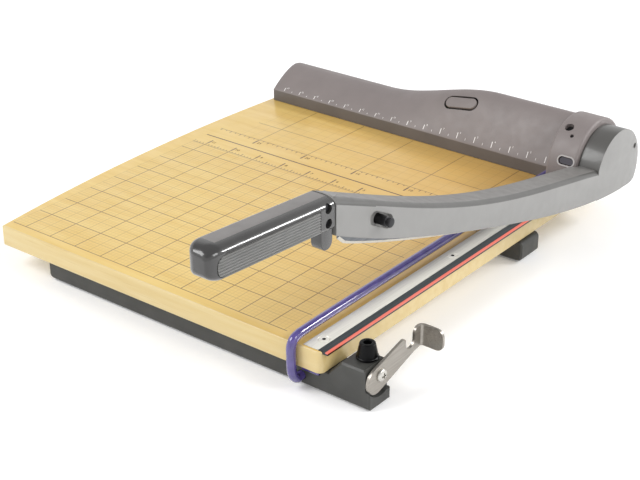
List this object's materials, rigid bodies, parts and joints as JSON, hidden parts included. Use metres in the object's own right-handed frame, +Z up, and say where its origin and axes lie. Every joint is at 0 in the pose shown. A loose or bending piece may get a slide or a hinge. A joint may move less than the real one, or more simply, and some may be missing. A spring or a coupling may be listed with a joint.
{
  "type": "guillotine paper cutter",
  "caption": "Guillotine paper cutter: wooden bed with a printed grid, a hinged knife arm with a grip, a scale housing, a guard band and a swinging latch.",
  "frame": {"origin": "centre of the footprint's box, at the level of the table under the feet", "axes": "+X from the bed's far edge towards the knife, +Y from the front edge to the scale housing and hinge, +Z up"},
  "size_m": [0.355, 0.4835, 0.1598],
  "materials": {
    "wood": "pale yellow board with a satin lacquer and a printed grid",
    "rail": "fine-grained dark grey plastic",
    "rubber": "matt black rubber",
    "housing": "warm grey plastic with a faint metallic satin",
    "arm": "die casting with a smooth grey coat",
    "grip": "dark grey plastic with a soft gloss",
    "steel": "brushed along its length",
    "blade": "ground and darkened, with a bright edge",
    "dark_steel": "black zinc",
    "bronze": "turned",
    "band": "clear violet elastomer",
    "lens": "dark polished window",
    "board": "green solder mask",
    "cell": "printed metal sleeve"
  },
  "bodies": {
    "base": {"bed_board": "wood", "cutting_strip": "steel", "fixed_knife": "blade", "strip_screw_1": "steel", "strip_screw_2": "steel", "strip_screw_3": "steel", "front_rail": "rail", "rear_rail": "rail", "rail_screw_1": "dark_steel", "rail_screw_2": "dark_steel", "rail_screw_3": "dark_steel", "rail_screw_4": "dark_steel", "foot_pad_front_left": "rubber", "foot_pad_front_right": "rubber", "foot_pad_rear_left": "rubber", "foot_pad_rear_right": "rubber", "bumper": "rubber", "bumper_screw": "dark_steel", "latch_screw": "steel", "latch_washer": "steel", "guard_band": "band", "band_front_clip": "band", "band_rear_clip": "steel", "scale_housing": "housing", "housing_screw_1": "dark_steel", "housing_screw_2": "dark_steel", "housing_screw_3": "dark_steel", "cell_1": "cell", "cell_2": "cell", "cell_contact_1": "steel", "cell_contact_2": "steel", "battery_door": "housing", "circuit_board": "board", "push_switch": "dark_steel", "laser_window": "lens", "laser_module": "bronze", "gap_adjuster": "dark_steel", "lock_screw": "dark_steel", "pivot_head": "housing", "head_screw_1": "dark_steel", "head_screw_2": "dark_steel", "pivot_bush": "bronze"},
    "arm": {"knife_arm": "arm", "catch_pin": "dark_steel", "hub_set_screw": "dark_steel", "pivot_shaft": "steel", "lock_nut": "steel", "disc_spring": "steel", "knife_blade": "blade", "blade_screw_1": "dark_steel", "blade_screw_2": "dark_steel", "blade_screw_3": "dark_steel", "blade_screw_4": "dark_steel", "handle_grip": "grip", "grip_panel": "grip", "handle_screw_1": "dark_steel", "handle_screw_2": "dark_steel"},
    "latch": {"latch_lever": "steel"},
    "button": {"laser_button": "housing"}
  },
  "joints": [
    {"name": "arm_hinge", "type": "hinge", "parent": "base", "child": "arm", "pos_m": [0.145, 0.2075, 0.048], "axis": [-1, 0, 0], "range_deg": [-13, 45]},
    {"name": "latch_pivot", "type": "hinge", "parent": "base", "child": "latch", "pos_m": [0.16, -0.1015, 0.0215], "axis": [1, 0, 0], "range_deg": [0, 77]},
    {"name": "laser_button_push", "type": "slide", "parent": "base", "child": "button", "axis": [0.1108, 0.7039, -0.7016], "range_m": [0, 0.0015], "stiffness_N_per_m": 300, "springref_m": -0.002}
  ]
}
